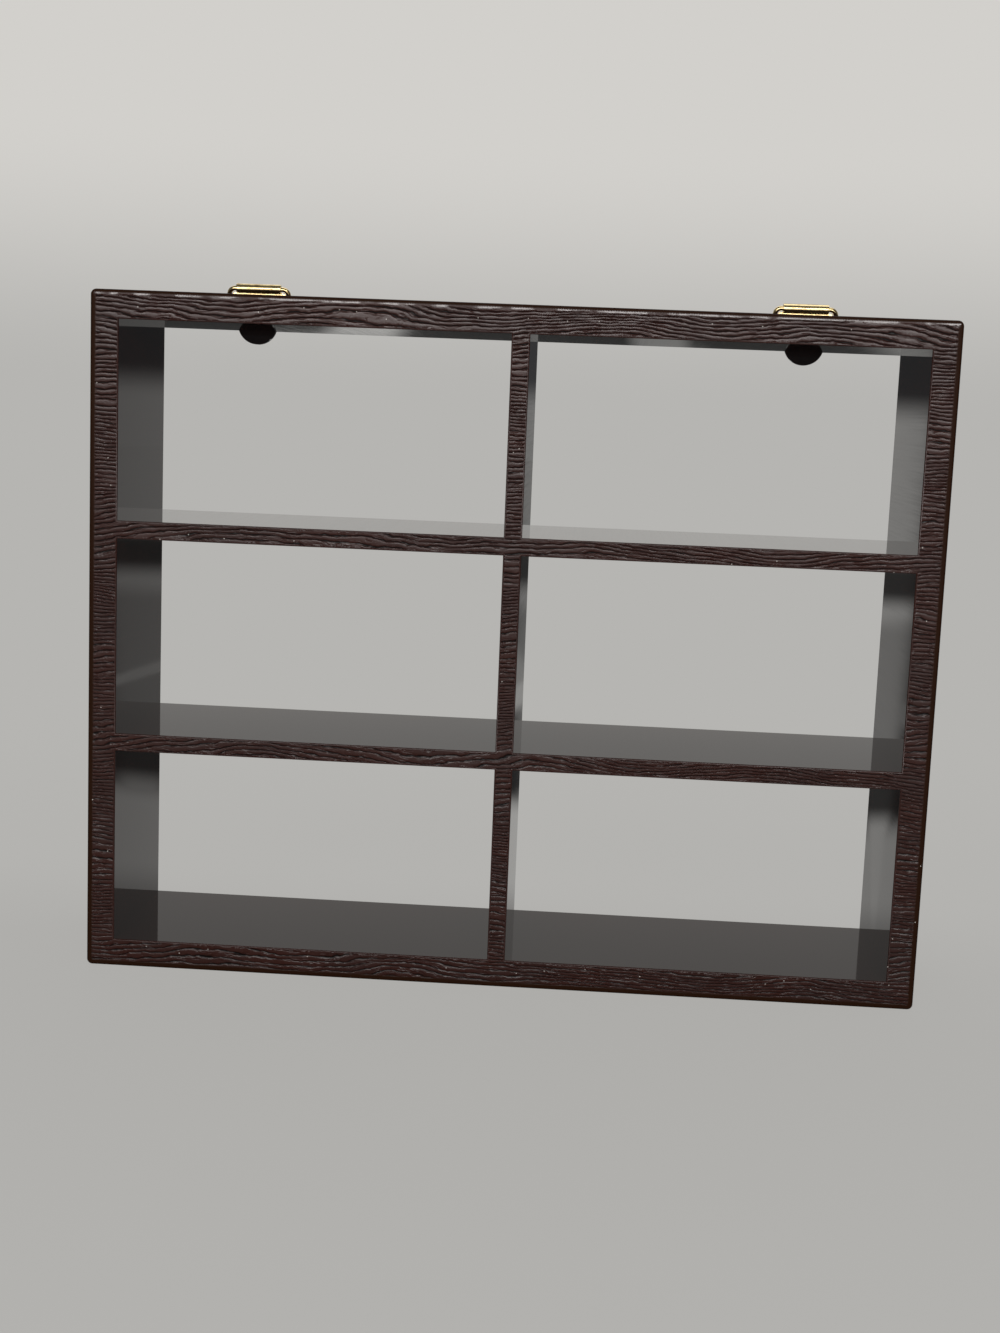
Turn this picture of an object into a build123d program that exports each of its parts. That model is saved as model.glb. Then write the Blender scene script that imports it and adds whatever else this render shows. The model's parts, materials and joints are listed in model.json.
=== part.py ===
"""Shadow box shelf: a moulded grid of six open compartments that hangs on two brass rings.

Millimetres. X runs along the width, Y from the grained front to the open back, and Z up.
The origin is the centre of the bottom face that the shelf stands on.
"""
from build123d import *
from math import asin, atan2, cos, degrees, hypot, radians, sin, tan
import os

# Overall size of the moulding
width = 305.0
height = 247.0
depth = 66.0

# Compartments: openings between the frame's members, in columns and rows
columns = 2
rows = 3
frame_face = 10.2
divider_face = 6.5

# Walls of the hollow-backed moulding
face_thickness = 2.4
frame_wall = 2.0
divider_wall = 1.8
rib_thickness = 1.6
ribs_between_hangers = 3
compartment_draft = 0.25
core_draft = 0.25

# Rounded edges of the front
outer_corner_radius = 2.0
outer_edge_radius = 1.0
opening_edge_radius = 0.5

# Half-round ears behind the top rail, one at each hanger
hanger_inset = 47.4
ear_radius = 7.45
ear_thickness = 3.0
ear_drop = 8.2
pilot_depth = 14.0

# Hanger plates
plate_thickness = 0.8
plate_width = 20.6
plate_end_radius = 6.0
plate_corner_radius = 0.8
shoulder_height = 4.2
shoulder_bottom = -1.0
screw_clearance = 0.2

# Rings and the rolled barrels that carry them
wire_radius = 0.9
wire_clearance = 0.08
barrel_length = 17.2
barrel_height = 5.6
barrel_wrap = 250.0
ring_width = 24.8
ring_drop = 11.0
ring_top_corner_radius = 2.35
ring_bottom_corner_radius = 6.0
ring_joint_gap = 0.3
ring_rest_clearance = 0.1
top_bend_steps = 6
bottom_bend_steps = 9

# Round-head screws
shank_radius = 1.3
shank_length = 11.0
point_length = 2.5
head_radius = 2.8
head_height = 1.9
slot_width = 0.9
slot_depth = 0.8
slot_turn = {"left": 35.0, "right": -70.0}
thread_clearance = 0.04

# Places worked out from the sizes above
front_y = -depth / 2
back_y = depth / 2
clear_width = (width - 2 * frame_face - (columns - 1) * divider_face) / columns
clear_height = (height - 2 * frame_face - (rows - 1) * divider_face) / rows
column_pitch = clear_width + divider_face
row_pitch = clear_height + divider_face
middle_z = height / 2
column_x = [(i - (columns - 1) / 2) * column_pitch for i in range(columns)]
row_z = [middle_z + (i - (rows - 1) / 2) * row_pitch for i in range(rows)]
column_edges = [x + side * clear_width / 2 for x in column_x for side in (-1, 1)]
row_edges = [z + side * clear_height / 2 for z in row_z for side in (-1, 1)]
back_plane = Plane.XZ.offset(-back_y)
hanger_x = {"left": -width / 2 + hanger_inset, "right": width / 2 - hanger_inset}
screw_z = height - ear_drop
plate_back_y = back_y + plate_thickness


def bays(low, high, ribs):
    """Return the centre and length of each bay between low and high.

    ribs lists (place, thickness) of the ribs that part the bays.
    """
    starts = [low] + [place + thickness / 2 for place, thickness in ribs]
    ends = [place - thickness / 2 for place, thickness in ribs] + [high]
    return [((a + b) / 2, b - a) for a, b in zip(starts, ends)]


def core(centre, size):
    """Add one core outline of the given size to the sketch in hand."""
    with Locations(centre):
        Rectangle(*size)


def bend(centre, radius, start, steps):
    """Return the points of a quarter turn about centre, from the start angle on."""
    angles = [radians(start + 90 * i / steps) for i in range(steps + 1)]
    return [(centre[0] + radius * cos(a), centre[1] + radius * sin(a)) for a in angles]


# The moulded grid: a drafted block of six openings, cored from behind
frame_core = frame_face - 2 * frame_wall
divider_core = divider_face - 2 * divider_wall
rail_ends = width / 2 - frame_wall
opening_growth = 2 * depth * tan(radians(compartment_draft))
rib_pitch = (hanger_x["right"] - hanger_x["left"]) / (ribs_between_hangers + 1)
inner_ribs = [(hanger_x["left"] + i * rib_pitch, rib_thickness)
              for i in range(1, ribs_between_hangers + 1)]
bottom_rail_ribs = [(hanger_x["left"], rib_thickness), *inner_ribs,
                    (hanger_x["right"], rib_thickness)]
top_rail_ribs = [(hanger_x["left"], 2 * ear_radius), *inner_ribs,
                 (hanger_x["right"], 2 * ear_radius)]
post_ribs = sorted([(z, rib_thickness) for z in row_z]
                   + [(z + row_pitch / 2, rib_thickness) for z in row_z[:-1]])

with BuildPart() as moulded_grid:
    with BuildSketch(back_plane) as outline:
        with Locations((0, middle_z)):
            RectangleRounded(width, height, outer_corner_radius)
    extrude(amount=depth)

    # The openings widen towards the front, so the front half of the mould can leave them
    with BuildSketch(back_plane) as openings:
        with Locations((0, middle_z)):
            with GridLocations(column_pitch, row_pitch, columns, rows):
                Rectangle(clear_width - opening_growth, clear_height - opening_growth)
    extrude(amount=depth, mode=Mode.SUBTRACT)
    opening_walls = faces(Select.LAST).filter_by(Plane.XZ, reverse=True)
    draft(opening_walls, back_plane, compartment_draft)
    fillet(faces().sort_by(Axis.Y)[0].inner_wires().edges(), opening_edge_radius)
    fillet(faces().sort_by(Axis.Y)[0].outer_wire().edges(), outer_edge_radius)

    # Cores open to the back and leave a face, walls, ribs and solid blocks for the screws
    with BuildSketch(back_plane) as cores:
        for z, ribs in ((frame_face / 2, bottom_rail_ribs),
                        (height - frame_face / 2, top_rail_ribs)):
            for x, length in bays(-rail_ends, rail_ends, ribs):
                core((x, z), (length, frame_core))
        for x in (-width / 2 + frame_face / 2, width / 2 - frame_face / 2):
            for z, length in bays(row_edges[0], row_edges[-1], post_ribs):
                core((x, z), (frame_core, length))
        for lower, upper in zip(row_edges[1:-1:2], row_edges[2::2]):
            for left, right in zip(column_edges[::2], column_edges[1::2]):
                for x, length in bays(left, right, [((left + right) / 2, rib_thickness)]):
                    core((x, (lower + upper) / 2), (length, divider_core))
        for left, right in zip(column_edges[1:-1:2], column_edges[2::2]):
            for z in row_z:
                core(((left + right) / 2, z), (divider_core, clear_height))
            for lower, upper in zip(row_edges[1:-1:2], row_edges[2::2]):
                core(((left + right) / 2, (lower + upper) / 2), (divider_core, divider_core))
    extrude(amount=depth - face_thickness, taper=core_draft, mode=Mode.SUBTRACT)

    # Half-round ears hang below the top rail at the back, with a pilot hole through each block
    with BuildSketch(back_plane) as ears:
        with Locations(*[(x, screw_z) for x in hanger_x.values()]):
            Circle(ear_radius)
    extrude(amount=ear_thickness)
    with BuildSketch(back_plane) as pilots:
        with Locations(*[(x, screw_z) for x in hanger_x.values()]):
            Circle(shank_radius + thread_clearance)
    extrude(amount=pilot_depth, mode=Mode.SUBTRACT)

os.makedirs("parts", exist_ok=True)
moulded_grid.part.label = "moulded_grid"
export_step(moulded_grid.part, "parts/moulded_grid.step")

# Hanger plates, rings and screws, one set for each side
barrel_inner_radius = wire_radius + wire_clearance
barrel_outer_radius = barrel_inner_radius + plate_thickness
barrel_y = back_y - barrel_inner_radius
barrel_z = height + barrel_height
bar_half_length = ring_width / 2 - wire_radius

# The ring leans back over the shelf's top edge, by the angle that just clears it
edge_reach = hypot(barrel_height, barrel_inner_radius)
ring_lean = degrees(atan2(barrel_inner_radius, barrel_height)
                    + asin((wire_radius + ring_rest_clearance) / edge_reach))

# The wire's centre line: a straight bar split by a joint, and four bends in short steps
top_bend = bar_half_length - ring_top_corner_radius
bottom_bend = bar_half_length - ring_bottom_corner_radius
bottom_bend_drop = ring_drop - ring_bottom_corner_radius
half_wire = [
    (ring_joint_gap / 2, 0),
    *bend((top_bend, ring_top_corner_radius), ring_top_corner_radius, -90, top_bend_steps),
    *bend((bottom_bend, bottom_bend_drop), ring_bottom_corner_radius, 0, bottom_bend_steps),
]
wire_points = half_wire + [(-along, drop) for along, drop in reversed(half_wire)]

for side, x in hanger_x.items():
    with BuildPart() as hanger_plate:
        with BuildSketch(back_plane) as leaf:
            with Locations((x, screw_z)):
                Circle(plate_end_radius)
            shoulder_length = shoulder_height - shoulder_bottom
            with Locations((x, height + shoulder_bottom + shoulder_length / 2)):
                RectangleRounded(plate_width, shoulder_length, plate_corner_radius)
            make_hull()
            with Locations((x, height + barrel_height / 2)):
                Rectangle(barrel_length, barrel_height)
            with Locations((x, screw_z)):
                Circle(shank_radius + screw_clearance, mode=Mode.SUBTRACT)
        extrude(amount=-plate_thickness)

        # The leaf's narrower top rolls forward over the ring's bar
        with BuildSketch(Plane.YZ.offset(x - barrel_length / 2)) as roll:
            with BuildLine():
                outer = CenterArc((barrel_y, barrel_z), barrel_outer_radius, 0, barrel_wrap)
                inner = CenterArc((barrel_y, barrel_z), barrel_inner_radius, 0, barrel_wrap)
                Line(outer @ 0, inner @ 0)
                Line(outer @ 1, inner @ 1)
            make_face()
            with Locations(((outer @ 1) + (inner @ 1)) / 2):
                Circle(plate_thickness / 2)
        extrude(amount=barrel_length)

    with BuildPart() as hanging_ring:
        ring_plane = Plane(origin=(x, barrel_y, barrel_z), x_dir=(1, 0, 0),
                           z_dir=(0, cos(radians(ring_lean)), sin(radians(ring_lean))))
        with BuildLine(ring_plane) as wire_path:
            Polyline(*wire_points)
        with BuildSketch(Plane(origin=wire_path.line @ 0, z_dir=wire_path.line % 0)) as wire:
            Circle(wire_radius)
        sweep(path=wire_path.line, transition=Transition.RIGHT)

    with BuildPart() as hanger_screw:
        with BuildSketch(Plane.YZ.offset(x)) as half_section:
            with BuildLine():
                Polyline(
                    (plate_back_y + head_height, screw_z),
                    (plate_back_y - shank_length, screw_z),
                    (plate_back_y - shank_length + point_length, screw_z + shank_radius),
                    (plate_back_y, screw_z + shank_radius),
                    (plate_back_y, screw_z + head_radius),
                )
                dome_radius = (head_radius ** 2 + head_height ** 2) / (2 * head_height)
                RadiusArc((plate_back_y, screw_z + head_radius),
                          (plate_back_y + head_height, screw_z), dome_radius)
            make_face()
        revolve(axis=Axis((x, 0, screw_z), (0, 1, 0)))
        with BuildSketch(Plane.XZ.offset(-plate_back_y - head_height)) as slot:
            with Locations(Location((x, screw_z), slot_turn[side])):
                Rectangle(2 * head_radius, slot_width)
        extrude(amount=slot_depth, mode=Mode.SUBTRACT)

    for piece, name in ((hanger_plate, "hanger_plate"), (hanging_ring, "hanging_ring"),
                        (hanger_screw, "hanger_screw")):
        piece.part.label = f"{side}_{name}"
        export_step(piece.part, f"parts/{side}_{name}.step")

print("clear opening", round(clear_width, 2), "x", round(clear_height, 2), "mm")
print("ring rests", round(ring_lean, 2), "degrees from straight down")
print("barrel centre", round(barrel_y, 3), round(barrel_z, 3))
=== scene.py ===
"""Dress the shadow box shelf: a grained plastic moulding with two brass hangers.

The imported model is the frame. Lengths are in metres, X along the width, Y from the
grained front to the open back, and Z up from the face that the shelf stands on.
"""
import json
import logging
import math
from dataclasses import dataclass, field
from enum import Enum

import bmesh
import bpy
import numpy as np
from mathutils import Matrix, Vector
from mathutils.geometry import delaunay_2d_cdt

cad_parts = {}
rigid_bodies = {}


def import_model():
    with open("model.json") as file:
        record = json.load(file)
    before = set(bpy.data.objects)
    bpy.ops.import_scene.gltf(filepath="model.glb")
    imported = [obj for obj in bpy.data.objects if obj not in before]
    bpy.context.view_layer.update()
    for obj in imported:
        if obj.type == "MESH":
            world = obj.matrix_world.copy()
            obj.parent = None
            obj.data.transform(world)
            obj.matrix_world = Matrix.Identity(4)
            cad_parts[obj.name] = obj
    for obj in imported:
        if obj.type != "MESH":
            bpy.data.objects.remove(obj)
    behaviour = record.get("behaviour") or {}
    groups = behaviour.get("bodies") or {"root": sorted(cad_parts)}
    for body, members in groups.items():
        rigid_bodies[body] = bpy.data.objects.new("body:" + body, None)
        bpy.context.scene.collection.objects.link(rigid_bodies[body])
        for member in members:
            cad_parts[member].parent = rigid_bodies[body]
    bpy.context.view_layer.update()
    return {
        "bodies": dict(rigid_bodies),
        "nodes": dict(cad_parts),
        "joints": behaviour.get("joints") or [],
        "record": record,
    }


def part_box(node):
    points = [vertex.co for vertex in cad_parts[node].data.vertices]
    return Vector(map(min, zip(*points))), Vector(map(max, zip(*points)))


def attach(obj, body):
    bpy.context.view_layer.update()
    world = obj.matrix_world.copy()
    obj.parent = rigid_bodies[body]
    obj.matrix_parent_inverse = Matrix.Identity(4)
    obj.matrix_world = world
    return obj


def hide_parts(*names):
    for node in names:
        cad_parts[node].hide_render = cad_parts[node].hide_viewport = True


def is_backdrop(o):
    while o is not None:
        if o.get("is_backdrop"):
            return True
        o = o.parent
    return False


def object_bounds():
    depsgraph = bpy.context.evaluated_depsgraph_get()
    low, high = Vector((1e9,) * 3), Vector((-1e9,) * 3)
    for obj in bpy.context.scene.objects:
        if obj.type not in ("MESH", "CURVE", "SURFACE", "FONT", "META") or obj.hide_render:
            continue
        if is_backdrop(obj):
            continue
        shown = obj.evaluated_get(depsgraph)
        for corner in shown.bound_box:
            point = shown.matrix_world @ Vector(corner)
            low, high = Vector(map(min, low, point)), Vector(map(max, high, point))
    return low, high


Tree = bpy.types.NodeTree
Node = bpy.types.Node
Socket = bpy.types.NodeSocket
Piece = bpy.types.Object
Mesh = bpy.types.Mesh
BMesh = bmesh.types.BMesh
Triple = tuple[float, float, float]
Rows = list[np.ndarray]

log = logging.getLogger("shelf")

MM = 0.001
SAME = 1e-6  # Places nearer than this are one place
MATH = ("ShaderNodeMath", "operation")


class Side(Enum):
    """The two hangers, as seen from the front."""

    LEFT = "left"
    RIGHT = "right"


class Kind(Enum):
    """Kinds of node that the trees use often, each with the property that it needs."""

    ADD = (*MATH, "ADD")
    SUBTRACT = (*MATH, "SUBTRACT")
    MULTIPLY = (*MATH, "MULTIPLY")
    DIVIDE = (*MATH, "DIVIDE")
    MAXIMUM = (*MATH, "MAXIMUM")
    ABSOLUTE = (*MATH, "ABSOLUTE")
    FRACT = (*MATH, "FRACT")
    LESS = (*MATH, "LESS_THAN")
    MORE = (*MATH, "GREATER_THAN")
    SCALE = ("ShaderNodeVectorMath", "operation", "DIVIDE")
    LENGTH = ("ShaderNodeVectorMath", "operation", "LENGTH")
    EASE = ("ShaderNodeMapRange", "interpolation_type", "SMOOTHSTEP")
    RAMP = ("ShaderNodeMapRange", "interpolation_type", "LINEAR")
    NOISE = ("ShaderNodeTexNoise", "noise_dimensions", "4D")
    MIX = ("ShaderNodeMix", "data_type", "FLOAT")
    BLEND = ("ShaderNodeMix", "data_type", "RGBA")


def linear(hex_colour: str) -> tuple[float, float, float, float]:
    """Turn an sRGB hex colour into linear light.

    Args:
        hex_colour: Six hex digits, with or without a leading hash.

    Returns:
        Red, green, blue and an alpha of one.
    """
    digits = hex_colour.lstrip("#")
    channels = [int(digits[i:i + 2], 16) / 255 for i in (0, 2, 4)]
    bright = [c / 12.92 if c <= 0.04045 else ((c + 0.055) / 1.055) ** 2.4 for c in channels]
    return (*bright, 1.0)


def result(source: Node | Socket) -> Socket:
    """Give a node's first output in use, or a socket as it is."""
    if isinstance(source, Socket):
        return source
    return next(s for s in source.outputs if s.enabled)


def add(tree: Tree, kind: Kind | str, *values: object,
        inputs: dict[str, object] | None = None, **settings: object) -> Node:
    """Add a node, set its properties and feed its inputs.

    Args:
        tree: Node tree that takes the node.
        kind: One of the kinds above, or Blender's name for the type of node.
        values: A value, an output or a node for each input in use, in order.
        inputs: The same for inputs that are given by name.
        settings: Properties of the node itself.

    Returns:
        The new node.
    """
    if isinstance(kind, Kind):
        kind, key, choice = kind.value
        settings[key] = choice
    node = tree.nodes.new(kind)
    for key, value in settings.items():
        setattr(node, key, value)
    feeds = list(zip((s for s in node.inputs if s.enabled), values))
    feeds += [(node.inputs[key], value) for key, value in (inputs or {}).items()]
    for socket, value in feeds:
        if isinstance(value, (Node, Socket)):
            tree.links.new(result(value), socket)
        else:
            socket.default_value = value
    return node


def pattern(tree: Tree, place: Socket, size: tuple[object, object, object], seed: object,
            detail: float, roughness: float = 0.5) -> Node:
    """Read a soft random pattern of a given size.

    Args:
        tree: Node tree that reads it.
        place: Socket with the place, in metres.
        size: Size of its blotches along X, Y and Z, in metres.
        seed: Number or node that picks the pattern.
        detail: How many finer layers it has.
        roughness: How strong the finer layers are.

    Returns:
        The node with a value from 0 to 1.
    """
    lengths = add(tree, "ShaderNodeCombineXYZ", *size)
    scaled = add(tree, Kind.SCALE, place, lengths)
    return add(tree, Kind.NOISE, scaled, seed, 1.0, detail, roughness)


def new_material(name: str) -> tuple[bpy.types.Material, Tree, Socket]:
    """Start a material with an empty tree.

    Args:
        name: Name of the material.

    Returns:
        The material, its node tree and the place on the object, in metres.
    """
    material = bpy.data.materials.new(name)
    material.use_nodes = True
    tree = material.node_tree
    tree.nodes.clear()
    return material, tree, add(tree, "ShaderNodeTexCoord").outputs["Object"]


def seen_rays(tree: Tree, gloss: Node) -> Node:
    """Tell which rays show the background: from the camera, in gloss and in glass.

    Args:
        tree: Node tree of the world or the floor.
        gloss: How much of it shows in gloss and glass, from 0 to 1.

    Returns:
        The node with the share that shows.
    """
    path = add(tree, "ShaderNodeLightPath").outputs
    bounced = add(tree, Kind.MAXIMUM, path["Is Glossy Ray"], path["Is Transmission Ray"])
    return add(tree, Kind.MAXIMUM, path["Is Camera Ray"],
               add(tree, Kind.MULTIPLY, bounced, gloss))


@dataclass(frozen=True)
class GlowBand:
    """A bright upright band low in the room behind, as gloss shows it.

    Its ends are the sideways part of a ray for each unit of depth.
    """

    start: float
    end: float
    soft: float
    peak: float


GLOW_LEAST = 0.04
GLOW_BANDS = (GlowBand(-0.205, -0.138, 0.022, 1.0), GlowBand(0.015, 0.065, 0.015, 0.4),
              GlowBand(0.18, 0.34, 0.06, 0.65))


def room_glow(tree: Tree, rays: list[Node]) -> Node:
    """Give how bright the low part of the room behind is, as gloss shows it.

    It is bright in the bands, and the rest is in the shelf's own shade.

    Args:
        tree: Node tree of the world or the floor.
        rays: Sideways part of the ray for each unit of depth, one for each band.

    Returns:
        The node with the brightness, from 0 to 1.
    """
    glow = GLOW_LEAST
    for ray, band in zip(rays, GLOW_BANDS):
        rise = add(tree, Kind.EASE, ray, band.start, band.start + band.soft, 0.0, band.peak)
        fall = add(tree, Kind.EASE, ray, band.end - band.soft, band.end, 1.0, 0.0)
        glow = add(tree, Kind.MAXIMUM, add(tree, Kind.MULTIPLY, rise, fall), glow)
    return glow


@dataclass(frozen=True)
class Drift:
    """How one trait of the grain drifts over the front.

    The length is its size along the grain, the ratio gives its size across it, and the
    shift picks its own pattern.
    """

    length: float
    ratio: float
    shift: float
    detail: float = 1.0


@dataclass(frozen=True)
class EmbossedGrain:
    """The wood grain that the mould presses into the front: lands parted by thin grooves.

    The same lines bend the mesh and colour the finish, so both are built from here.
    """

    line_pitch: float = 1.55 * MM
    groove_depth: float = 0.16 * MM
    sway: float = 12.0
    ripple: float = 1.56
    jog: float = 0.50
    seed: float = 11.0
    broad: Drift = Drift(62 * MM, 0.42, 0.0, 0.6)
    fine: Drift = Drift(12 * MM, 0.40, 7.0)
    jogging: Drift = Drift(2.6 * MM, 0.6, 17.0)
    breadth: Drift = Drift(6 * MM, 0.3, 13.0)
    depth: Drift = Drift(10 * MM, 0.2, 19.0)
    hair: Drift = Drift(6 * MM, 0.3, 23.0)
    patches: Drift = Drift(7 * MM, 0.35, 29.0)
    narrowest: float = 0.34
    widest: float = 0.52
    shallowest: float = 0.62
    hairs_per_line: float = 2.0
    hair_sway: float = 2.0
    hair_width: float = 0.36
    hair_depth: float = 0.45

    def inputs(self) -> dict[str, float]:
        """Give each size under the name of its input."""
        return {"Line Pitch": self.line_pitch, "Groove Depth": self.groove_depth,
                "Long Wave": self.broad.length, "Short Wave": self.fine.length,
                "Sway": self.sway, "Ripple": self.ripple, "Seed": self.seed}

    def lines(self, tree: Tree, place: Socket, take: object) -> Node:
        """Draw the grooves.

        Args:
            tree: Geometry or shader tree that draws them.
            place: Socket with the place, in metres.
            take: The sizes by name, as numbers or sockets.

        Returns:
            A node that is 0 on the lands and up to 1 in the grooves.
        """
        height = add(tree, "ShaderNodeSeparateXYZ", place).outputs["Z"]

        def drifting(drift: Drift, length: object = None) -> Node:
            """Read a trait's pattern, which is long along X and short along Z."""
            length = drift.length if length is None else length
            across = add(tree, Kind.MULTIPLY, length, drift.ratio)
            seed = add(tree, Kind.ADD, take["Seed"], drift.shift)
            return pattern(tree, place, (length, 1.0, across), seed, drift.detail)

        def swing(drift: Drift, size: object, length: object = None) -> Node:
            """Turn a trait's pattern into a swing either way."""
            either = add(tree, Kind.SUBTRACT, drifting(drift, length), 0.5)
            return add(tree, Kind.MULTIPLY, either, size)

        def from_line(value: Node) -> Node:
            """Give 0 on a line and 1 halfway to the next."""
            half = add(tree, Kind.SUBTRACT, add(tree, Kind.FRACT, value), 0.5)
            return add(tree, Kind.MULTIPLY, add(tree, Kind.ABSOLUTE, half), 2.0)

        # Growth lines: even lines that long and short waves bend into cathedrals and eyes
        even = add(tree, Kind.DIVIDE, height, take["Line Pitch"])
        broad = swing(self.broad, take["Sway"], take["Long Wave"])
        fine = swing(self.fine, take["Ripple"], take["Short Wave"])
        jog = swing(self.jogging, self.jog)
        phase = add(tree, Kind.ADD, add(tree, Kind.ADD, even, broad),
                    add(tree, Kind.ADD, fine, jog))
        # Each groove is 0.5 to 0.8 mm wide with straight flanks, and shallow here and there
        breadth = add(tree, Kind.EASE, drifting(self.breadth), 0.32, 0.68,
                      self.narrowest, self.widest)
        deep = add(tree, Kind.EASE, drifting(self.depth), 0.30, 0.50,
                   self.shallowest, 1.0)
        main = add(tree, Kind.MULTIPLY, deep,
                   add(tree, Kind.RAMP, from_line(phase), 0.0, breadth, 1.0, 0.0))
        # Hair lines lie between them in patches, twice as close and half as deep
        second = add(tree, Kind.ADD, add(tree, Kind.MULTIPLY, phase, self.hairs_per_line),
                     swing(self.hair, self.hair_sway))
        hair = add(tree, Kind.RAMP, from_line(second), 0.0, self.hair_width,
                   self.hair_depth, 0.0)
        patchy = add(tree, Kind.EASE, drifting(self.patches), 0.45, 0.57)
        return add(tree, Kind.MAXIMUM, main, add(tree, Kind.MULTIPLY, hair, patchy))


@dataclass(frozen=True)
class MouldedPolystyrene:
    """High-impact polystyrene, dyed mahogany brown and injection moulded.

    The front takes an embossed wood grain from the mould: satin lands with dull grooves,
    which carry painted shade.
    The walls behind it come off polished steel, so they are dark and mirror-like.
    """

    land: str = "#331914"
    land_red: str = "#381912"
    painted_groove_shade: str = "#080403"
    # Near-black colour of the grooves: painted shade in the grain's recesses
    wall: str = "#281613"
    border: str = "#2C180C"
    dust: str = "#E4DFD8"
    land_roughness: float = 0.29
    groove_roughness: float = 0.34
    border_roughness: float = 0.50
    shoulder_roughness: float = 0.09
    wall_smoothest: float = 0.030
    wall_roughest: float = 0.065
    wear_least: float = -0.05
    wear_most: float = 0.06
    ior: float = 1.5
    land_specular: float = 0.45
    groove_specular: float = 0.20
    wall_specular: float = 0.35
    border_specular: float = 0.06
    shoulder_specular: float = 0.9
    cloud_size: Triple = (25 * MM, 25 * MM, 12 * MM)
    wear_size: Triple = (8 * MM, 8 * MM, 8 * MM)
    drag_size: Triple = (0.6 * MM, 60 * MM, 0.6 * MM)
    rub_size: Triple = (9 * MM, 9 * MM, 9 * MM)
    stipple_size: Triple = (0.45 * MM, 0.3 * MM, 0.25 * MM)
    stipple_height: float = 0.18
    bump_depth: float = 0.15 * MM
    lint_pitch: float = 9 * MM
    lint_missing: float = 0.66
    speck_core: float = 0.014
    speck_reach: float = 0.026
    speck_cover: float = 0.85
    grain: EmbossedGrain = EmbossedGrain()

    def build(self) -> bpy.types.Material:
        """Build the material.

        Returns:
            A material that reads the attributes cover, edge, face and shine.
        """
        material, tree, place = new_material("moulded_polystyrene_mahogany")
        cover, edge, face, shine = (
            add(tree, "ShaderNodeAttribute", attribute_name=name).outputs["Fac"]
            for name in ("cover", "edge", "face", "shine"))
        grooves = add(tree, Kind.MULTIPLY, cover,
                      self.grain.lines(tree, place, self.grain.inputs()))
        # Dye that is not quite even shows as soft red and brown clouds some 25 mm long
        clouds = pattern(tree, place, self.cloud_size, 2.0, 2.0)
        land = add(tree, Kind.BLEND, add(tree, Kind.EASE, clouds, 0.35, 0.65),
                   linear(self.land), linear(self.land_red))
        # The grooves are coloured near-black: painted shade in the recesses of the grain
        front = add(tree, Kind.BLEND, add(tree, Kind.EASE, grooves, 0.15, 0.85), land,
                    linear(self.painted_groove_shade))
        front = add(tree, Kind.BLEND, edge, front, linear(self.border))
        # Lint caught in the grain: specks of a third of a millimetre, a few in each 50 mm
        parts = add(tree, "ShaderNodeSeparateXYZ", place).outputs
        on_front = add(tree, "ShaderNodeCombineXYZ", parts["X"], parts["Z"])
        lint = add(tree, "ShaderNodeTexVoronoi", voronoi_dimensions="2D",
                   inputs={"Vector": on_front, "Scale": 1 / self.lint_pitch,
                           "Randomness": 1.0}).outputs
        speck = add(tree, Kind.MULTIPLY,
                    add(tree, Kind.MORE, lint["Color"], self.lint_missing),
                    add(tree, Kind.EASE, lint["Distance"], self.speck_core,
                        self.speck_reach, 1.0, 0.0))
        front = add(tree, Kind.BLEND, add(tree, Kind.MULTIPLY, speck, self.speck_cover),
                    front, linear(self.dust))
        # A finger-worn polish on the lands, uneven over about 8 mm
        worn = add(tree, Kind.EASE, pattern(tree, place, self.wear_size, 5.0, 3.0),
                   0.3, 0.7, self.wear_least, self.wear_most)
        front_rough = add(tree, Kind.ADD, worn,
                          add(tree, Kind.EASE, grooves, 0.0, 0.8, self.land_roughness,
                              self.groove_roughness))
        # Fine drag lines run out of the mould along the draw, 0.6 mm apart
        wall_rough = add(tree, Kind.EASE, pattern(tree, place, self.drag_size, 8.0, 2.0),
                         0.3, 0.7, self.wall_smoothest, self.wall_roughest)
        # The shoulder inside the rounded edge is rubbed bright in runs some 9 mm long
        rubbed = pattern(tree, place, self.rub_size, 15.0, 5.0)
        shoulder = add(tree, Kind.EASE, rubbed, 0.45, 0.60, self.shoulder_roughness,
                       self.land_roughness)
        rough = add(tree, Kind.MIX, shine, front_rough, shoulder)
        rough = add(tree, Kind.MIX, edge, rough, self.border_roughness)
        # Dirt dulls the grooves, and the border inside the rounded edge was never polished
        level = add(tree, Kind.EASE, grooves, 0.0, 0.6, self.land_specular,
                    self.groove_specular)
        polish = add(tree, Kind.EASE, rubbed, 0.45, 0.56, self.shoulder_specular,
                     self.groove_specular)
        level = add(tree, Kind.MIX, shine, level, polish)
        level = add(tree, Kind.MIX, edge, level, self.border_specular)
        # Mould texture of 0.12 mm on the lands is drawn at 0.3 mm, so that it shows
        stipple = add(tree, Kind.MULTIPLY, pattern(tree, place, self.stipple_size, 4.0, 2.0),
                      self.stipple_height)
        bump = add(tree, "ShaderNodeBump",
                   inputs={"Height": add(tree, Kind.SUBTRACT, stipple, grooves),
                           "Strength": face, "Distance": self.bump_depth})
        shader = add(tree, "ShaderNodeBsdfPrincipled", inputs={
            "Base Color": add(tree, Kind.BLEND, face, linear(self.wall), front),
            "Roughness": add(tree, Kind.MIX, face, wall_rough, rough),
            "Specular IOR Level": add(tree, Kind.MIX, face, self.wall_specular, level),
            "IOR": self.ior, "Normal": bump})
        add(tree, "ShaderNodeOutputMaterial", shader)
        return material


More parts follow.
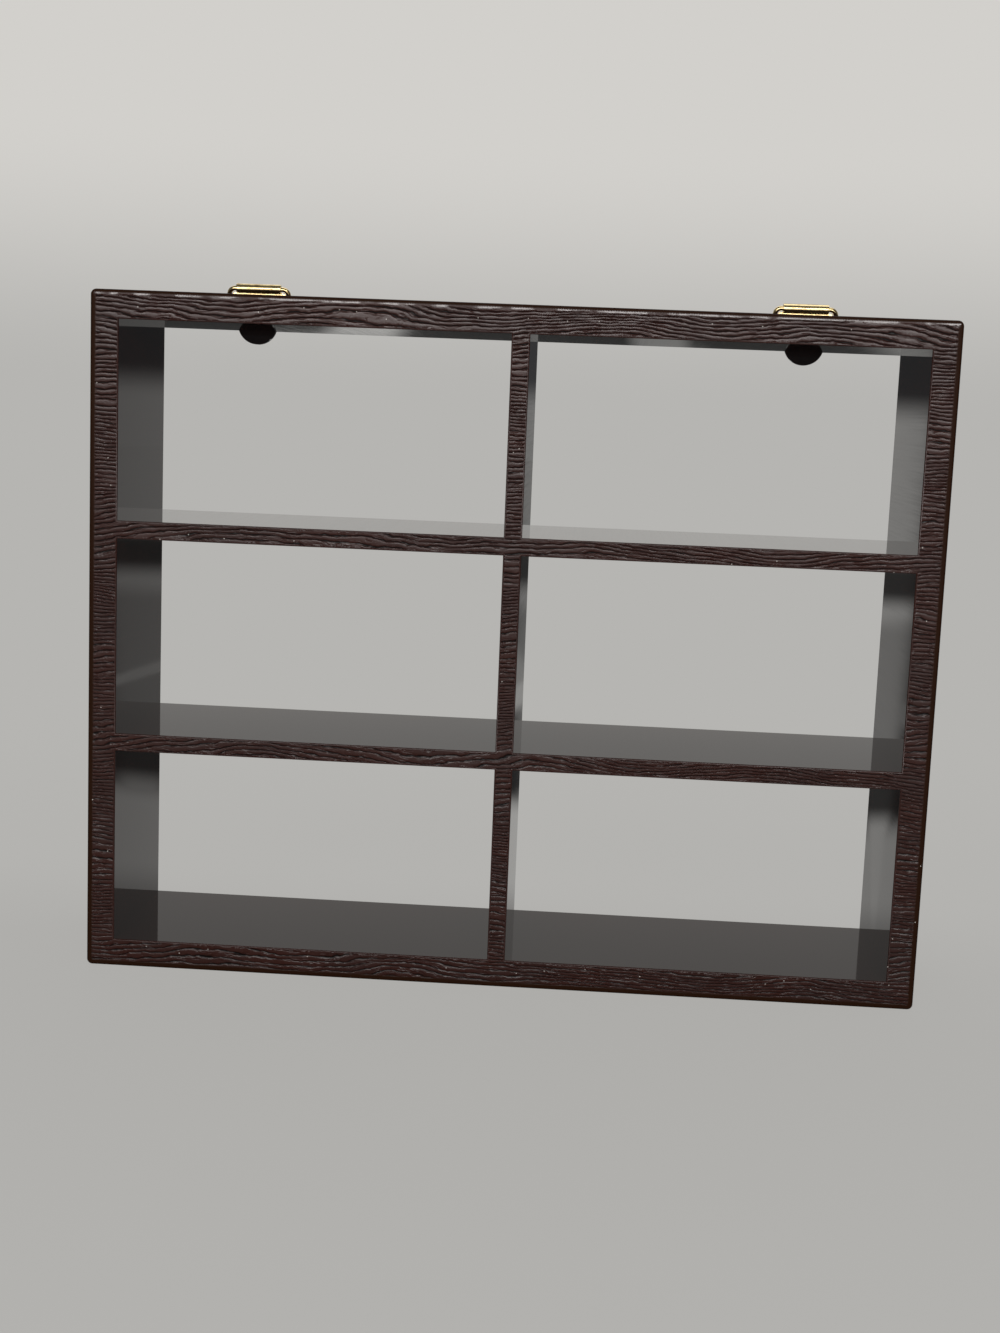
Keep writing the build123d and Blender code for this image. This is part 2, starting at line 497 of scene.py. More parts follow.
@dataclass(frozen=True)
class PlatedBrass:
    """Steel strip or wire with a thin bright brass plating.

    Plating keeps the drawn or rolled surface under it, so gloss varies in fine streaks,
    and it tarnishes brown where it is rubbed least.
    """

    name: str = "brass_plated_steel"
    bright: str = "#E4CD98"
    tarnish: str = "#9C7A40"
    roughness: float = 0.16
    streak_x: float = 4 * MM
    streak_yz: float = 0.25 * MM
    streak_smooth: float = -0.03
    streak_rough: float = 0.07
    streak_strength: float = 0.06
    streak_depth: float = 0.02 * MM
    stain: float = 3 * MM
    stain_rough: float = 0.14

    def build(self) -> bpy.types.Material:
        """Build the material.

        Returns:
            A metal that reads object coordinates only.
        """
        material, tree, place = new_material(self.name)
        stains = pattern(tree, place, (self.stain, self.stain, self.stain), 3.0, 3.0, 0.6)
        colour = add(tree, Kind.BLEND, add(tree, Kind.EASE, stains, 0.45, 0.75),
                     linear(self.bright), linear(self.tarnish))
        streaks = pattern(tree, place, (self.streak_x, self.streak_yz, self.streak_yz),
                          6.0, 2.0)
        uneven = add(tree, Kind.ADD,
                     add(tree, Kind.EASE, streaks, 0.3, 0.7, self.streak_smooth,
                         self.streak_rough),
                     add(tree, Kind.EASE, stains, 0.5, 0.8, 0.0, self.stain_rough))
        bump = add(tree, "ShaderNodeBump",
                   inputs={"Height": streaks, "Strength": self.streak_strength,
                           "Distance": self.streak_depth})
        shader = add(tree, "ShaderNodeBsdfPrincipled", inputs={
            "Base Color": colour, "Metallic": 1.0, "Normal": bump,
            "Roughness": add(tree, Kind.ADD, self.roughness, uneven)})
        add(tree, "ShaderNodeOutputMaterial", shader)
        return material


@dataclass(frozen=True)
class Shade:
    """A ring of the shelves' own shade on the floor behind, as gloss shows it."""

    start: float
    end: float
    depth: float


@dataclass(frozen=True)
class MattPaper:
    """Matt seamless paper for the studio floor, with no pattern of its own.

    Past the shadow it takes the pale colour of the room, so that no edge shows. Gloss
    shows the part behind the shelf in the room's bands of light, crossed by shade.
    """

    colour: str = "#B3B1AD"
    shaded: str = "#2E2E2D"
    roughness: float = 0.95
    specular: float = 0.1
    near: float = 0.15
    far: float = 0.60
    least: float = 0.86
    least_behind: float = 0.95
    behind_from: float = 0.12
    shades: tuple[Shade, ...] = (Shade(0.27, 0.38, 0.92), Shade(0.36, 1.1, 0.35),
                                 Shade(1.3, 1.8, 0.92))
    shade_soft: float = 1.2
    close_glow: float = 0.9
    close_start: float = 0.24
    close_end: float = 0.32

    def build(self, room: str, wall_x: float) -> bpy.types.Material:
        """Build the material.

        Args:
            room: Colour of the room where it meets the floor.
            wall_x: How far the shelf's inner side walls are from its middle.

        Returns:
            A material whose far part shows the room's colour.
        """
        material, tree, place = new_material("matt_paper")
        away = add(tree, Kind.LENGTH, place)
        parts = add(tree, "ShaderNodeSeparateXYZ", place).outputs
        # A wall of the shelf mirrors the floor along a line from the wall's own place
        rays = [add(tree, Kind.DIVIDE, add(tree, Kind.ADD, parts["X"], shift), parts["Y"])
                for shift in (-wall_x, 0.0, wall_x)]
        # The shelves' own shade lies across it, as the tops of the walls show
        dark = 0.0
        for ring in self.shades:
            rise = add(tree, Kind.EASE, away, ring.start, ring.start * self.shade_soft,
                       0.0, ring.depth)
            fall = add(tree, Kind.EASE, away, ring.end, ring.end * self.shade_soft, 1.0, 0.0)
            dark = add(tree, Kind.MAXIMUM, add(tree, Kind.MULTIPLY, rise, fall), dark)
        behind = add(tree, Kind.EASE, parts["Y"], 0.0, self.behind_from)
        # Just behind the shelf the floor is bright all along, between it and its shade
        close = add(tree, Kind.EASE, away, self.close_start, self.close_end,
                    self.close_glow, 0.0)
        lit = add(tree, Kind.MULTIPLY, behind, add(tree, Kind.SUBTRACT, 1.0, dark))
        mirrored = add(tree, Kind.MULTIPLY, lit,
                       add(tree, Kind.MAXIMUM, room_glow(tree, rays), close))
        gloss = add(tree, "ShaderNodeLightPath").outputs["Is Glossy Ray"]
        colour = add(tree, Kind.BLEND, add(tree, Kind.MULTIPLY, gloss, behind),
                     linear(self.colour), linear(self.shaded))
        least = add(tree, Kind.MIX, behind, self.least, self.least_behind)
        share = add(tree, Kind.MULTIPLY, seen_rays(tree, mirrored),
                    add(tree, Kind.EASE, away, self.near, self.far, least, 1.0))
        shader = add(tree, "ShaderNodeBsdfPrincipled",
                     inputs={"Base Color": colour, "Roughness": self.roughness,
                             "Specular IOR Level": self.specular})
        pale = add(tree, "ShaderNodeEmission", linear(room), 1.0)
        mixed = add(tree, "ShaderNodeMixShader", share, shader, pale)
        add(tree, "ShaderNodeOutputMaterial", mixed)
        return material


def merged_copy(node: Piece) -> BMesh:
    """Copy a node's mesh with its loose triangles joined.

    Args:
        node: CAD node's object, which is left as it is.

    Returns:
        The joined mesh.
    """
    work = bmesh.new()
    work.from_mesh(node.data)
    bmesh.ops.remove_doubles(work, verts=work.verts, dist=SAME)
    return work


def shade(mesh: Mesh, sharp_angle: float) -> None:
    """Shade a mesh smooth, with its sharp edges kept.

    Args:
        mesh: Mesh to shade.
        sharp_angle: Angle in degrees past which an edge stays sharp.
    """
    work = bmesh.new()
    work.from_mesh(mesh)
    limit = math.radians(sharp_angle)
    for face in work.faces:
        face.smooth = True
    for edge in work.edges:
        edge.smooth = len(edge.link_faces) == 2 and edge.calc_face_angle(0.0) < limit
    work.to_mesh(mesh)
    work.free()


def link(name: str, data: bpy.types.ID) -> Piece:
    """Put a mesh, lamp or camera in the scene, at the origin.

    Args:
        name: Name of the object.
        data: The mesh, lamp or camera that it shows.

    Returns:
        The new object.
    """
    made = bpy.data.objects.new(name, data)
    bpy.context.scene.collection.objects.link(made)
    return made


def bake(piece: Piece, name: str) -> Piece:
    """Keep what a piece's modifier makes of it as a plain mesh.

    Args:
        piece: Object that carries the modifier. It is removed.
        name: Name of the finished piece.

    Returns:
        The finished piece, with no modifier.
    """
    evaluated = piece.evaluated_get(bpy.context.evaluated_depsgraph_get())
    mesh = bpy.data.meshes.new_from_object(evaluated)
    bpy.data.objects.remove(piece)
    mesh.name = name
    return link(name, mesh)


def apply_tree(piece: Piece, tree: Tree, inputs: dict[str, object],
               name: str) -> Piece:
    """Run a Geometry Nodes tree on a piece and keep the result as a plain mesh.

    Args:
        piece: Object that the tree starts from. It is removed.
        tree: The tree to run.
        inputs: Value of each named input.
        name: Name of the finished piece.

    Returns:
        The finished piece, with no modifier.
    """
    modifier = piece.modifiers.new(tree.name, "NODES")
    modifier.node_group = tree
    sockets = {item.name: item.identifier for item in tree.interface.items_tree
               if item.item_type == "SOCKET" and item.in_out == "INPUT"}
    for key, value in inputs.items():
        modifier[sockets[key]] = value
    return bake(piece, name)


def weigh_normals(piece: Piece, name: str) -> Piece:
    """Turn each point's normal to its largest faces, so that flat walls mirror flat.

    Args:
        piece: Object with its sharp edges marked. It is removed.
        name: Name of the finished piece.

    Returns:
        The finished piece, with no modifier.
    """
    modifier = piece.modifiers.new("weighted_normals", "WEIGHTED_NORMAL")
    modifier.keep_sharp = True
    return bake(piece, name)


def new_tree(name: str, sizes: dict[str, float]) -> tuple[Tree, Node, Node]:
    """Start a Geometry Nodes tree that takes a shape, named sizes and a material.

    Args:
        name: Name of the tree.
        sizes: Default value of each size, by name.

    Returns:
        The tree, its input node and its output node.
    """
    tree = bpy.data.node_groups.new(name, "GeometryNodeTree")
    face = tree.interface
    face.new_socket("Geometry", in_out="INPUT", socket_type="NodeSocketGeometry")
    for key, value in sizes.items():
        size = face.new_socket(key, in_out="INPUT", socket_type="NodeSocketFloat")
        size.default_value = value
    face.new_socket("Material", in_out="INPUT", socket_type="NodeSocketMaterial")
    face.new_socket("Geometry", in_out="OUTPUT", socket_type="NodeSocketGeometry")
    return tree, add(tree, "NodeGroupInput"), add(tree, "NodeGroupOutput")


def close_tree(tree: Tree, shape: Node, material: Socket, end: Node) -> None:
    """End a tree in Realize Instances and Set Material.

    Args:
        tree: The tree to end.
        shape: Node with the finished geometry.
        material: Socket with its material.
        end: The tree's output node.
    """
    real = add(tree, "GeometryNodeRealizeInstances", shape)
    dressed = add(tree, "GeometryNodeSetMaterial",
                  inputs={"Geometry": real, "Material": material})
    tree.links.new(result(dressed), end.inputs[0])


@dataclass
class GrainedMoulding:
    """The one-piece moulding, with the embossed grain cut into its front face."""

    node: str = "moulded_grid"
    step_along: float = 0.78 * MM
    step_across: float = 0.25 * MM
    net_join: float = 0.0002 * MM
    rim_margin: float = 0.12 * MM
    rim_fade: float = 0.30 * MM
    rim_cover: float = 0.35
    rim_step: float = 0.9 * MM
    border_width: float = 0.70 * MM
    border_fade: float = 0.25 * MM
    border_start: float = 0.15 * MM
    border_offsets: tuple[float, ...] = (0.16 * MM, 0.32 * MM, 0.48 * MM, 0.64 * MM,
                                         0.80 * MM)
    corner: float = 1.2 * MM
    side_border: float = 1.25 * MM
    side_fade: float = 0.5 * MM
    side_shoulder: float = 0.2
    top_reach: float = 1.0 * MM
    skin_depth: float = 1.1 * MM
    skin_end: float = 2.6 * MM
    skin_fade: float = 1.0 * MM
    shoulder_drop: float = 0.075 * MM
    shoulder_width: float = 0.75 * MM
    sharp_angle: float = 32.0
    front_y: float = field(init=False, default=0.0)
    finish: MouldedPolystyrene = field(default_factory=MouldedPolystyrene)

    def build(self, frame: dict) -> Piece:
        """Build the whole moulding as one closed mesh.

        Args:
            frame: The loaded frame.

        Returns:
            The piece that stands for the node.
        """
        work = merged_copy(frame["nodes"][self.node])
        loops = self.open_front(work)
        self.close_front(work, loops)
        bmesh.ops.recalc_face_normals(work, faces=work.faces)
        mesh = bpy.data.meshes.new("moulding_blank")
        work.to_mesh(mesh)
        work.free()
        shade(mesh, self.sharp_angle)
        self.mark_front(mesh, loops)
        sizes = {**self.finish.grain.inputs(), "Shoulder Drop": self.shoulder_drop}
        grained = apply_tree(link("moulding_blank", mesh), self.grain_tree(sizes),
                             {**sizes, "Material": self.finish.build()},
                             "embossed_moulding")
        return weigh_normals(grained, "grained_moulding")

    def open_front(self, work: BMesh) -> Rows:
        """Take the flat front out and divide the edges round it.

        Args:
            work: Mesh of the moulding, which loses its flat front.

        Returns:
            The points of each loop, as rows of X and Z, the outer loop first.
        """
        self.front_y = min(v.co.y for v in work.verts)
        flat = [f for f in work.faces
                if all(v.co.y < self.front_y + SAME for v in f.verts) and f.normal.y < -0.99]
        bmesh.ops.delete(work, geom=flat, context="FACES")
        rim = [e for e in work.edges if e.is_boundary]
        for edge in rim:
            cuts = int(edge.calc_length() / self.rim_step)
            if cuts > 0:
                bmesh.ops.subdivide_edges(work, edges=[edge], cuts=cuts)
        bmesh.ops.triangulate(work, faces=[f for f in work.faces if len(f.verts) > 4])
        return self.trace_loops(work)

    @staticmethod
    def trace_loops(work: BMesh) -> Rows:
        """Follow the open edges round each hole.

        Args:
            work: Mesh with its front open.

        Returns:
            The points of each loop, as rows of X and Z, the outer loop first.
        """
        left = dict.fromkeys(e for e in work.edges if e.is_boundary)
        loops = []
        while left:
            edge = next(iter(left))
            del left[edge]
            start, here = edge.verts
            points = [start.co.copy()]
            while here != start:
                points.append(here.co.copy())
                edge = next(e for e in here.link_edges if e in left)
                del left[edge]
                here = edge.other_vert(here)
            loops.append(np.array([(p.x, p.z) for p in points]))
        return sorted(loops, key=lambda loop: -np.ptp(loop[:, 0]))

    @staticmethod
    def edge_distances(places: np.ndarray,
                       loops: Rows) -> tuple[np.ndarray, np.ndarray]:
        """Measure how far places on the front are from its edges.

        Args:
            places: Rows of X and Z.
            loops: The loops round the front, the outer one first.

        Returns:
            Distance inside the outer loop's box, and outside the nearest opening's box.
        """
        low, high = loops[0].min(axis=0), loops[0].max(axis=0)
        outer = np.minimum(places - low, high - places).min(axis=1)
        inner = np.full(len(places), np.inf)
        for loop in loops[1:]:
            low, high = loop.min(axis=0), loop.max(axis=0)
            beyond = np.maximum(low - places, places - high)
            deepest = beyond.max(axis=1)
            away = np.hypot(*np.maximum(beyond, 0).T)
            inner = np.minimum(inner, np.where(deepest > 0, away, deepest))
        return outer, inner

    def close_front(self, work: BMesh, loops: Rows) -> None:
        """Fill the front with a fine net of triangles that the grain can bend.

        Args:
            work: Mesh with its front open.
            loops: The loops round the front, the outer one first.
        """
        low, high = loops[0].min(axis=0), loops[0].max(axis=0)
        columns = np.arange(low[0] + self.step_along / 2, high[0], self.step_along)
        rows = np.arange(low[1] + self.step_across / 2, high[1], self.step_across)
        grid_x, grid_z = np.meshgrid(columns, rows)
        grid_x = grid_x + (np.arange(len(rows)) % 2)[:, None] * self.step_along / 2
        net = np.column_stack([grid_x.ravel(), grid_z.ravel()])
        outer, inner = self.edge_distances(net, loops)
        corner = np.abs(net - (low + high) / 2) - (high - low) / 2 + self.border_width
        in_corner = (corner > 0).all(axis=1)
        beside = self.border_offsets[-1] + self.rim_margin
        net = net[(outer > beside) & (inner > self.rim_margin) & ~in_corner]
        net = np.vstack([net, *self.border_rows(low, high)])
        # The triangles are found in millimetres, where a tolerance of 1e-5 is fine enough
        points = [Vector(p) for p in np.vstack([*loops, net]) * (1 / MM)]
        edges = []
        first = 0
        for loop in loops:
            count = len(loop)
            edges += [(first + i, first + (i + 1) % count) for i in range(count)]
            first += count
        made, _, faces, *_ = delaunay_2d_cdt(points, edges, [], 0, 1e-5, False)
        flat = np.array([(p.x, p.y) for p in made]) * MM
        corners = np.array([f for f in faces if len(f) == 3])
        inside = self.inside_loops(flat[corners].mean(axis=1), loops)
        verts = [work.verts.new((x, self.front_y, z)) for x, z in flat]
        for a, b, c in corners[inside]:
            work.faces.new((verts[a], verts[b], verts[c]))
        loose = [v for v in verts if not v.link_faces]
        bmesh.ops.delete(work, geom=loose, context="VERTS")
        bmesh.ops.remove_doubles(work, verts=work.verts, dist=self.net_join)

    def border_rows(self, low: np.ndarray, high: np.ndarray) -> Rows:
        """Lay rows of points beside the outer edge, close enough to slope its shoulder.

        Args:
            low: Lowest X and Z of the front.
            high: Highest X and Z of the front.

        Returns:
            The points of each row, as rows of X and Z.
        """
        rows = []
        for offset in self.border_offsets:
            for axis in (0, 1):
                along = np.arange(low[axis] + self.corner, high[axis] - self.corner,
                                  self.rim_step)
                for edge in (low[1 - axis] + offset, high[1 - axis] - offset):
                    row = np.column_stack([along, np.full(len(along), edge)])
                    rows.append(row if axis == 0 else row[:, ::-1])
        return rows

    def inside_loops(self, places: np.ndarray, loops: Rows) -> np.ndarray:
        """Tell which places lie on the front.

        Args:
            places: Rows of X and Z.
            loops: The loops round the front, the outer one first.

        Returns:
            One truth value for each place.
        """
        _, inner = self.edge_distances(places, loops)
        outline = loops[0]
        following = np.roll(outline, -1, axis=0)
        crossings = np.zeros(len(places), dtype=int)
        for (ax, az), (bx, bz) in zip(outline, following):
            if az == bz:
                continue
            spans = (places[:, 1] > min(az, bz)) & (places[:, 1] <= max(az, bz))
            reach = ax + (places[:, 1] - az) * (bx - ax) / (bz - az)
            crossings += spans & (reach > places[:, 0])
        return (crossings % 2 == 1) & (inner > 0)

    def mark_front(self, mesh: Mesh, loops: Rows) -> None:
        """Store where the grain, the plain border and the rubbed shoulder lie.

        Args:
            mesh: The closed moulding.
            loops: The loops round the front, the outer one first.
        """
        places = np.empty(len(mesh.vertices) * 3)
        mesh.vertices.foreach_get("co", places)
        places = places.reshape(-1, 3)
        front = places[:, 1] < self.front_y + SAME
        outer, inner = self.edge_distances(places[:, [0, 2]], loops)
        past_border = np.clip((outer - self.border_width) / self.border_fade, 0, 1)
        past_rim = np.clip(self.rim_cover + inner / self.rim_fade, 0, 1)
        cover = np.where(front, past_border * past_rim, 0.0)
        near = np.clip((self.front_y + self.skin_end - places[:, 1]) / self.skin_fade, 0, 1)
        # The shoulder slopes from the grain down to the rounded edge, most along the top
        off_top = loops[0][:, 1].max() - places[:, 2] - outer
        top = np.clip(1 - off_top / self.top_reach, 0, 1)
        slope = np.clip((self.border_width - outer) / self.shoulder_width, 0, 1)
        slope *= np.maximum(top, self.side_shoulder)
        # The plain border is broad and soft at the sides, and only a thin line at the top
        start = self.side_border + (self.border_start - self.side_border) * top
        fade = self.side_fade + (self.border_start - self.side_fade) * top
        edge = near * np.clip((start - outer) / fade, 0, 1)
        shine = top * (near - edge) * (1 - past_border)
        on_skin = [all(places[i, 1] < self.front_y + self.skin_depth for i in face.vertices)
                   for face in mesh.polygons]
        for name, domain, values in (
                ("cover", "POINT", cover), ("edge", "POINT", edge), ("shine", "POINT", shine),
                ("shoulder", "POINT", np.where(near > 0, slope, 0.0)),
                ("face", "FACE", np.array(on_skin))):
            mesh.attributes.new(name, "FLOAT", domain).data.foreach_set(
                "value", values.astype(np.float32))

    def grain_tree(self, sizes: dict[str, float]) -> Tree:
        """Build the tree that cuts the embossed grain.

        Args:
            sizes: The grain's sizes and the shoulder's drop, by name.

        Returns:
            A tree that moves the covered points and the shoulder inwards.
        """
        tree, start, end = new_tree("embossed_grain", sizes)
        take = start.outputs
        place = add(tree, "GeometryNodeInputPosition").outputs[0]
        cover, shoulder = (
            add(tree, "GeometryNodeInputNamedAttribute", inputs={"Name": name},
                data_type="FLOAT").outputs[0] for name in ("cover", "shoulder"))
        grooves = add(tree, Kind.MULTIPLY, cover, self.finish.grain.lines(tree, place, take))
        depth = add(tree, Kind.ADD,
                    add(tree, Kind.MULTIPLY, grooves, take["Groove Depth"]),
                    add(tree, Kind.MULTIPLY, shoulder, take["Shoulder Drop"]))
        inwards = add(tree, "ShaderNodeCombineXYZ", 0.0, depth)
        cut = add(tree, "GeometryNodeSetPosition",
                  inputs={"Geometry": take["Geometry"], "Offset": inwards})
        close_tree(tree, cut, take["Material"], end)
        return tree


@dataclass
class WireRing:
    """A hanging ring: brass-plated wire bent round, with its joint inside the barrel."""

    side: Side
    wire_radius: float = 0.9 * MM
    width: float = 24.8 * MM
    drop: float = 11.0 * MM
    top_bend: float = 2.35 * MM
    bottom_bend: float = 6.0 * MM
    joint_gap: float = 0.3 * MM
    lean: float = 20.06
    pivot_y: float = 32.02 * MM
    pivot_z: float = 252.6 * MM
    bend_steps: int = 14
    wire_sides: int = 28
    sharp_angle: float = 50.0
    finish: PlatedBrass = field(default_factory=lambda: PlatedBrass(
        name="brass_plated_wire", roughness=0.13, streak_x=2 * MM))

    def build(self, centre: float) -> Piece:
        """Bend and sweep the wire.

        Args:
            centre: Where the ring's middle is along X.

        Returns:
            The finished ring.
        """
        half = self.width / 2 - self.wire_radius
        gap = self.joint_gap / 2
        corners = [(gap, 0), (half, 0), (half, self.drop), (-half, self.drop), (-half, 0),
                   (-gap, 0)]
        mesh = bpy.data.meshes.new("ring_centre_line")
        turn = Matrix.Rotation(math.radians(self.lean), 3, "X")
        origin = Vector((centre, self.pivot_y, self.pivot_z))
        places = [origin + turn @ Vector((along, 0, -down)) for along, down in corners]
        mesh.from_pydata(places, [(i, i + 1) for i in range(len(places) - 1)], [])
        sizes = {"Wire Radius": self.wire_radius, "Top Bend": self.top_bend,
                 "Bottom Bend": self.bottom_bend}
        ring = apply_tree(link("ring_centre_line", mesh), self.wire_tree(sizes),
                          {**sizes, "Material": self.finish.build()},
                          f"{self.side.value}_wire_ring")
        shade(ring.data, self.sharp_angle)
        return ring

    def wire_tree(self, sizes: dict[str, float]) -> Tree:
        """Build the tree that rounds a bent line's corners and sweeps the wire along it.

        Args:
            sizes: The wire's radius and its two kinds of bend, by name.

        Returns:
            A tree that turns six corner points into a ring.
        """
        tree, start, end = new_tree("bent_wire", sizes)
        take = start.outputs
        curve = add(tree, "GeometryNodeMeshToCurve", inputs={"Mesh": take["Geometry"]})
        # The two lower corners are points 2 and 3 of the six, half a point off the middle
        index = add(tree, "GeometryNodeInputIndex")
        from_middle = add(tree, Kind.ABSOLUTE, add(tree, Kind.SUBTRACT, index, 2.5))
        wider = add(tree, Kind.SUBTRACT, take["Bottom Bend"], take["Top Bend"])
        radius = add(tree, Kind.ADD, take["Top Bend"],
                     add(tree, Kind.MULTIPLY, add(tree, Kind.LESS, from_middle, 1.0), wider))
        bent = add(tree, "GeometryNodeFilletCurve", mode="POLY",
                   inputs={"Curve": curve, "Radius": radius, "Count": self.bend_steps})
        section = add(tree, "GeometryNodeCurvePrimitiveCircle", mode="RADIUS",
                      inputs={"Resolution": self.wire_sides, "Radius": take["Wire Radius"]})
        wire = add(tree, "GeometryNodeCurveToMesh",
                   inputs={"Curve": bent, "Profile Curve": section, "Fill Caps": True})
        close_tree(tree, wire, take["Material"], end)
        return tree


@dataclass
class Hanger:
    """One hanger: a rolled plate, its ring and the screw that holds it to the back."""

    side: Side
    edge_round: float = 0.13 * MM
    edge_steps: int = 2
    flat_angle: float = 1.0
    round_angle: float = 40.0
    sharp_angle: float = 38.0
    plate_finish: PlatedBrass = field(default_factory=lambda: PlatedBrass(
        name="brass_plated_strip", roughness=0.2))
    screw_finish: PlatedBrass = field(default_factory=lambda: PlatedBrass(
        name="brass_plated_screw", bright="#D6BC84", roughness=0.22, streak_x=0.3 * MM))

    def soften(self, frame: dict, node: str, name: str,
               finish: PlatedBrass) -> Piece:
        """Copy a node with its pressed edges rounded.

        Args:
            frame: The loaded frame.
            node: Name of the CAD node.
            name: Name of the piece.
            finish: What the piece is made of.

        Returns:
            The finished piece, which stands for the node.
        """
        work = merged_copy(frame["nodes"][node])
        bmesh.ops.dissolve_limit(work, angle_limit=math.radians(self.flat_angle),
                                 verts=work.verts, edges=work.edges)
        limit = math.radians(self.round_angle)
        edges = [e for e in work.edges
                 if len(e.link_faces) == 2 and e.calc_face_angle(0.0) > limit]
        bmesh.ops.bevel(work, geom=edges, offset=self.edge_round, segments=self.edge_steps,
                        profile=0.5, affect="EDGES", clamp_overlap=True)
        bmesh.ops.triangulate(work, faces=work.faces)
        mesh = bpy.data.meshes.new(name)
        work.to_mesh(mesh)
        work.free()
        shade(mesh, self.sharp_angle)
        mesh.materials.append(finish.build())
        piece = weigh_normals(link(node + "_softened", mesh), name)
        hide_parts(node)
        return piece

    def build(self, frame: dict) -> None:
        """Build the three pieces and set them on their bodies.

        Args:
            frame: The loaded frame.
        """
        side = self.side.value
        low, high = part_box(f"{side}_hanging_ring")
        centre = (low[0] + high[0]) / 2
        ring = WireRing(self.side).build(centre)
        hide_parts(f"{side}_hanging_ring")
        plate = self.soften(frame, f"{side}_hanger_plate", f"{side}_rolled_plate",
                            self.plate_finish)
        screw = self.soften(frame, f"{side}_hanger_screw", f"{side}_slotted_screw",
                            self.screw_finish)
        for piece, body, slot in ((ring, f"{side}_ring", "ring_brass"),
                                  (plate, "shelf", "hanger_brass"),
                                  (screw, "shelf", "screw_brass")):
            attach(piece, body)
            log.info("%s: %d faces", piece.name, len(piece.data.polygons))


@dataclass(frozen=True)
class Lamp:
    """A soft oblong lamp, with its power in watts."""

    name: str
    place: Triple
    size: tuple[float, float]
    power: float
    colour: str

    def hang(self, target: Triple) -> None:
        """Hang the lamp.

        Args:
            target: What it points at.
        """
        data = bpy.data.lights.new(self.name, "AREA")
        data.shape = "RECTANGLE"
        data.size, data.size_y = self.size
        data.energy = self.power
        data.color = linear(self.colour)[:3]
        lamp = link(self.name, data)
        lamp.location = self.place
        facing = Vector(target) - Vector(self.place)
        lamp.rotation_euler = facing.to_track_quat("-Z", "Y").to_euler()


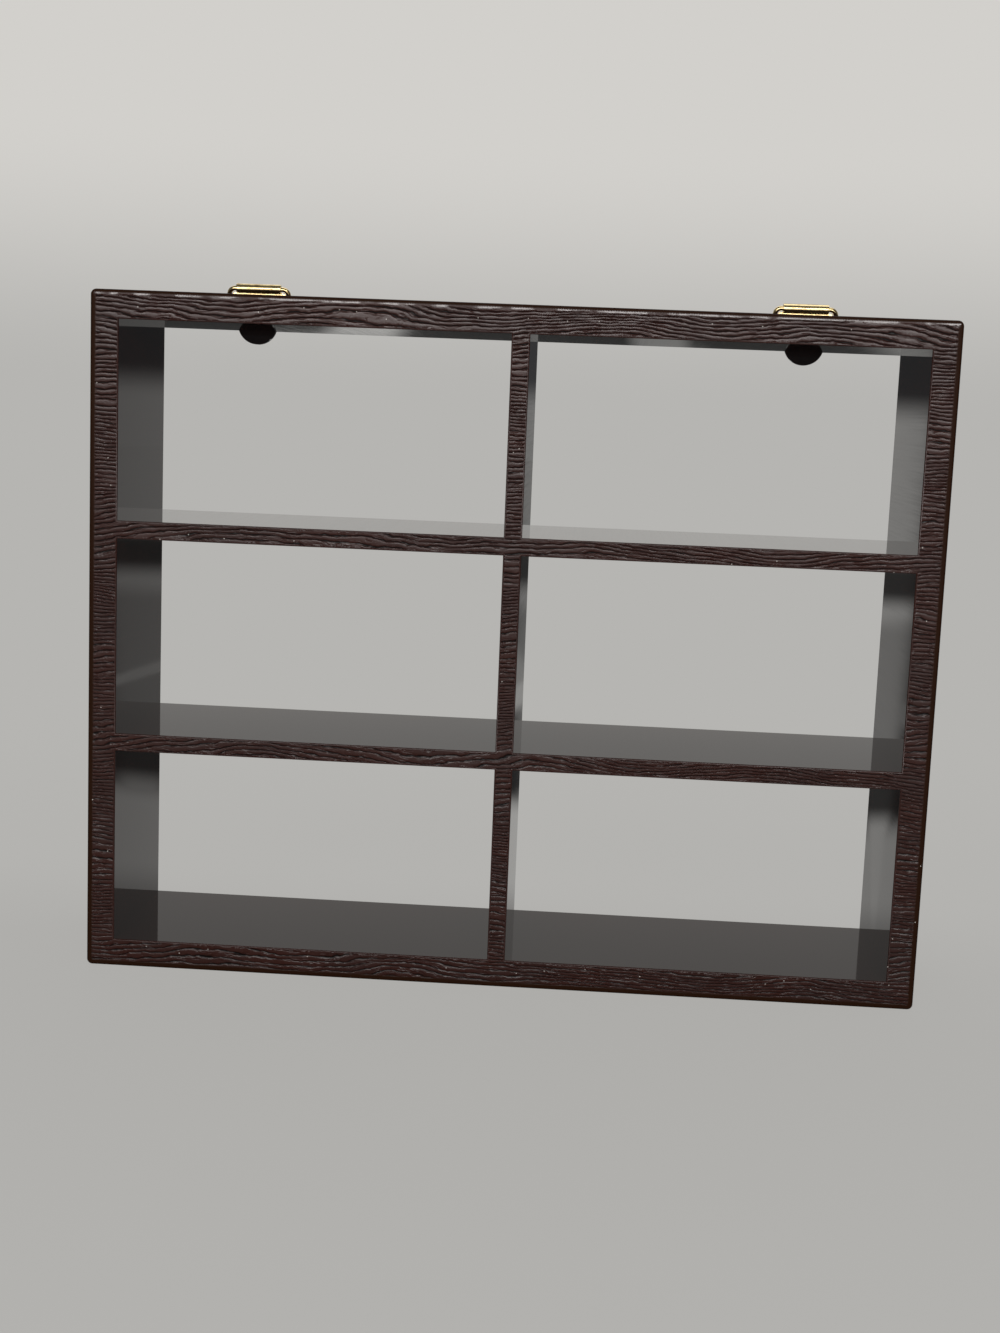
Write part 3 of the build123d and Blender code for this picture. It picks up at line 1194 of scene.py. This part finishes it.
@dataclass
class Studio:
    """A pale paper floor, soft lamps and the camera at the photograph's angle."""

    focal_px: float = 1781.395
    frame_px: float = 1000.0
    sensor: float = 36.0
    near_clip: float = 0.01
    turn: Triple = (0.14618, 0.05326, 0.04353)
    shift: Triple = (0.00932, -0.00842, 2.09283)
    unit: float = 305 * MM
    aim: Triple = (0.0, -0.033, 0.122)
    lamp_target: Triple = (0.0, 0.0, 0.12)
    lamps: tuple[Lamp, ...] = (
        Lamp("key_strip", (0.03, -1.2, 0.48), (1.40, 0.32), 9.5, "#FEFAF8"),
        Lamp("overhead", (0.2, 0.3, 1.3), (1.0, 0.8), 4.0, "#F8FAFF"),
        Lamp("window_back", (-0.7, 1.3, 1.5), (1.2, 0.8), 4.0, "#F6F8FF"),
        Lamp("window_front", (0.2, -2.2, 0.65), (2.4, 0.7), 0.9, "#F4F8FF"))
    floor_radius: float = 6.0
    floor_sides: int = 96
    wall_x: float = 142 * MM
    room: str = "#D2D0CC"
    horizon: str = "#B6B5B2"
    room_light: str = "#F4F5F8"
    light: float = 0.12
    light_behind: float = 0.048
    paper: MattPaper = field(default_factory=MattPaper)

    def paper_floor(self) -> None:
        """Lay the round paper floor, marked as stage."""
        low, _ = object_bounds()
        work = bmesh.new()
        bmesh.ops.create_circle(work, cap_ends=True, segments=self.floor_sides,
                                radius=self.floor_radius)
        bmesh.ops.translate(work, verts=work.verts, vec=(0.0, 0.0, low[2]))
        mesh = bpy.data.meshes.new("paper_floor")
        work.to_mesh(mesh)
        work.free()
        mesh.materials.append(self.paper.build(self.horizon, self.wall_x))
        floor = link("paper_floor", mesh)
        floor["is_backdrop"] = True

    def camera(self) -> None:
        """Set the camera where the photograph was taken from."""
        angle = Vector(self.turn).length
        turn = Matrix.Rotation(angle, 3, Vector(self.turn).normalized())
        axes = turn @ Matrix(((1, 0, 0), (0, 0, -1), (0, 1, 0)))
        place = Vector(self.aim) - self.unit * (axes.transposed() @ Vector(self.shift))
        right, down, ahead = axes
        facing = Matrix((right, -down, -ahead)).transposed()
        data = bpy.data.cameras.new("camera")
        data.sensor_fit = "HORIZONTAL"
        data.sensor_width = self.sensor
        data.lens = self.focal_px / self.frame_px * self.sensor
        data.clip_start = self.near_clip
        view = link("camera", data)
        view.matrix_world = Matrix.Translation(place) @ facing.to_4x4()
        bpy.context.scene.camera = view

    def world(self) -> None:
        """Light the room evenly, with a pale background.

        The background shows in gloss behind the shelf. The room in front of it is dimmer,
        as the real one is, and only the camera sees it pale.
        """
        world = bpy.data.worlds.new("soft_room")
        world.use_nodes = True
        bpy.context.scene.world = world
        tree = world.node_tree
        tree.nodes.clear()
        way = add(tree, "ShaderNodeTexCoord").outputs["Generated"]
        parts = add(tree, "ShaderNodeSeparateXYZ", way).outputs
        height = parts["Z"]
        sideways = add(tree, Kind.DIVIDE, parts["X"], parts["Y"])
        # Gloss shows a pale sky that dims upwards, a dark gap, and the bands near the floor
        sky = add(tree, Kind.MULTIPLY, add(tree, Kind.EASE, height, 0.035, 0.07),
                  add(tree, Kind.EASE, height, 0.08, 0.20, 1.0, 0.60))
        low = add(tree, Kind.MULTIPLY, add(tree, Kind.EASE, height, -0.005, 0.014, 1.0, 0.0),
                  room_glow(tree, [sideways] * len(GLOW_BANDS)))
        behind = add(tree, Kind.EASE, parts["Y"], 0.1, 0.5)
        share = seen_rays(tree, add(tree, Kind.MULTIPLY, behind,
                                    add(tree, Kind.MAXIMUM, sky, low)))
        gloss = add(tree, "ShaderNodeLightPath").outputs["Is Glossy Ray"]
        dim = add(tree, Kind.EASE, add(tree, Kind.MULTIPLY, behind, gloss), 0.0, 1.0,
                  self.light, self.light_behind)
        light = add(tree, "ShaderNodeBackground", linear(self.room_light), dim)
        colour = add(tree, Kind.BLEND, add(tree, Kind.EASE, height, 0.0, 0.14),
                     linear(self.horizon), linear(self.room))
        pale = add(tree, "ShaderNodeBackground", colour, 1.0)
        add(tree, "ShaderNodeOutputWorld",
            add(tree, "ShaderNodeMixShader", share, light, pale))

    def build(self) -> None:
        """Set the whole studio up."""
        self.paper_floor()
        for lamp in self.lamps:
            lamp.hang(self.lamp_target)
        self.camera()
        self.world()
        bpy.context.scene.view_settings.view_transform = "Standard"


def main() -> None:
    """Build the shelf's pieces in order, then the studio."""
    logging.basicConfig(level=logging.INFO, format="%(name)s: %(message)s")
    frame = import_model()
    moulding = GrainedMoulding().build(frame)
    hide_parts("moulded_grid")
    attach(moulding, "shelf")
    log.info("%s: %d faces", moulding.name, len(moulding.data.polygons))
    for side in Side:
        Hanger(side).build(frame)
    Studio().build()
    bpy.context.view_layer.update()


if __name__ == "__main__":
    main()
